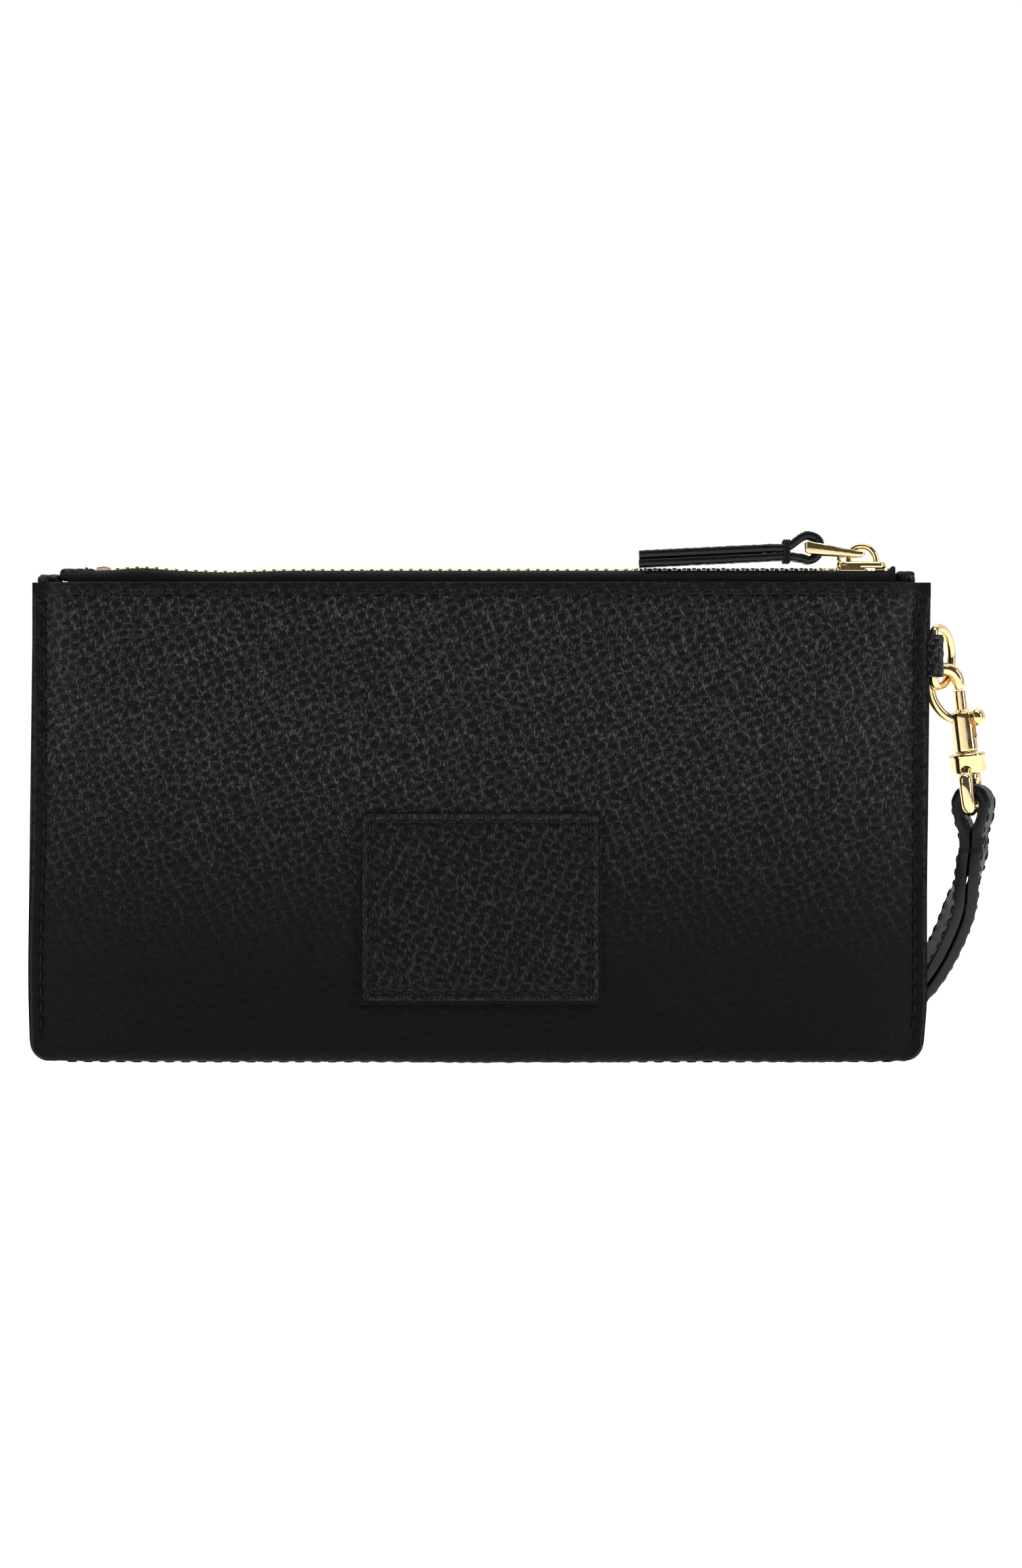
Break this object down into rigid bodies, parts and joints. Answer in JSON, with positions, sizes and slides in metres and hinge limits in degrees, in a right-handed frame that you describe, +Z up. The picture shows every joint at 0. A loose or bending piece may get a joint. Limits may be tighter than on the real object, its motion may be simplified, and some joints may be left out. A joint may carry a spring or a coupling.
{
  "type": "wristlet wallet",
  "caption": "Slim upright leather pouch with a metal zip along its top edge, a stitched front patch, and a folded leather wrist strap on a swivelling bolt snap and D-ring.",
  "frame": {"origin": "centre of the pouch's flat base, on the surface that it stands on", "axes": "+X along the pouch towards the D-ring and strap, +Y to the back, away from the patch, +Z up"},
  "size_m": [0.2319, 0.0478, 0.1272],
  "materials": {
    "outer_leather": "black pebbled leather, semi-gloss on the grain",
    "stiffener_board": "fibre board, matte",
    "lining_fabric": "black woven lining",
    "zip_tape": "black twill zip tape",
    "zip_metal": "polished pale gold plate",
    "slider_metal": "polished pale gold plate",
    "snap_metal": "mirror-polished gold plate",
    "spring_steel": "spring wire",
    "strap_leather": "black leather with smooth painted edges",
    "thread": "black bonded thread"
  },
  "bodies": {
    "pouch": {"front_panel": "outer_leather", "back_panel": "outer_leather", "base_gusset": "outer_leather", "base_board": "stiffener_board", "front_stiffener": "stiffener_board", "back_stiffener": "stiffener_board", "front_lining": "lining_fabric", "back_lining": "lining_fabric", "slip_pocket": "lining_fabric", "card_slot_1": "lining_fabric", "card_slot_2": "lining_fabric", "card_slot_3": "lining_fabric", "label_patch": "outer_leather", "left_edge_filler": "outer_leather", "right_edge_filler": "outer_leather", "zipper_tape_front": "zip_tape", "zipper_tape_back": "zip_tape", "zipper_teeth_front": "zip_metal", "zipper_teeth_back": "zip_metal", "bottom_stop": "zip_metal", "top_stops": "zip_metal", "zip_end_tab_left": "outer_leather", "zip_end_tab_right": "outer_leather", "d_ring_tab": "outer_leather"},
    "slider": {"slider_body": "slider_metal", "slider_bridge": "slider_metal", "slider_lock": "slider_metal"},
    "pull": {"pull_tab": "slider_metal"},
    "pull_strip": {"pull_leather": "strap_leather", "pull_bartack": "thread"},
    "ring": {"d_ring": "snap_metal"},
    "snap": {"hook_body": "snap_metal", "swivel_rivet": "snap_metal", "bolt_spring": "spring_steel"},
    "snap_bolt": {"bolt": "snap_metal", "thumb_knob": "snap_metal"},
    "swivel": {"swivel_eye": "snap_metal"},
    "strap": {"strap_outer_ply": "strap_leather", "strap_inner_ply": "strap_leather", "strap_bartack": "thread"}
  },
  "joints": [
    {"name": "zipper_travel", "type": "slide", "parent": "pouch", "child": "slider", "axis": [-1, 0, 0], "range_m": [0, 0.172], "deforming": ["zipper_teeth_front", "zipper_teeth_back", "zipper_tape_front", "zipper_tape_back"]},
    {"name": "pull_flip", "type": "hinge", "parent": "slider", "child": "pull", "pos_m": [0.0916, 0, 0.12175], "axis": [0, 1, 0], "range_deg": [0, 150]},
    {"name": "pull_leather_swing", "type": "hinge", "parent": "pull", "child": "pull_strip", "pos_m": [0.0788, 0, 0.1233], "axis": [0, 1, 0], "range_deg": [0, 35]},
    {"name": "d_ring_swing", "type": "hinge", "parent": "pouch", "child": "ring", "pos_m": [0.109, 0, 0.0971], "axis": [0, 0, -1], "range_deg": [0, 100]},
    {"name": "hook_swing", "type": "hinge", "parent": "ring", "child": "snap", "pos_m": [0.11175, 0.00476, 0.0907], "axis": [0.225, 0.9744, 0], "range_deg": [0, 11]},
    {"name": "bolt_slide", "type": "slide", "parent": "snap", "child": "snap_bolt", "axis": [0.12, 0.0212, -0.9925], "range_m": [0, 0.004], "stiffness_N_per_m": 250, "springref_m": -0.004, "deforming": ["bolt_spring"]},
    {"name": "swivel_turn", "type": "hinge", "parent": "snap", "child": "swivel", "pos_m": [0.11763, 0.0058, 0.07158], "axis": [0.12, 0.0212, -0.9925], "range_deg": [0, 180]},
    {"name": "strap_swing", "type": "hinge", "parent": "swivel", "child": "strap", "pos_m": [0.11897, 0.00604, 0.06057], "axis": [0.225, 0.9744, 0], "range_deg": [0, 45]}
  ]
}
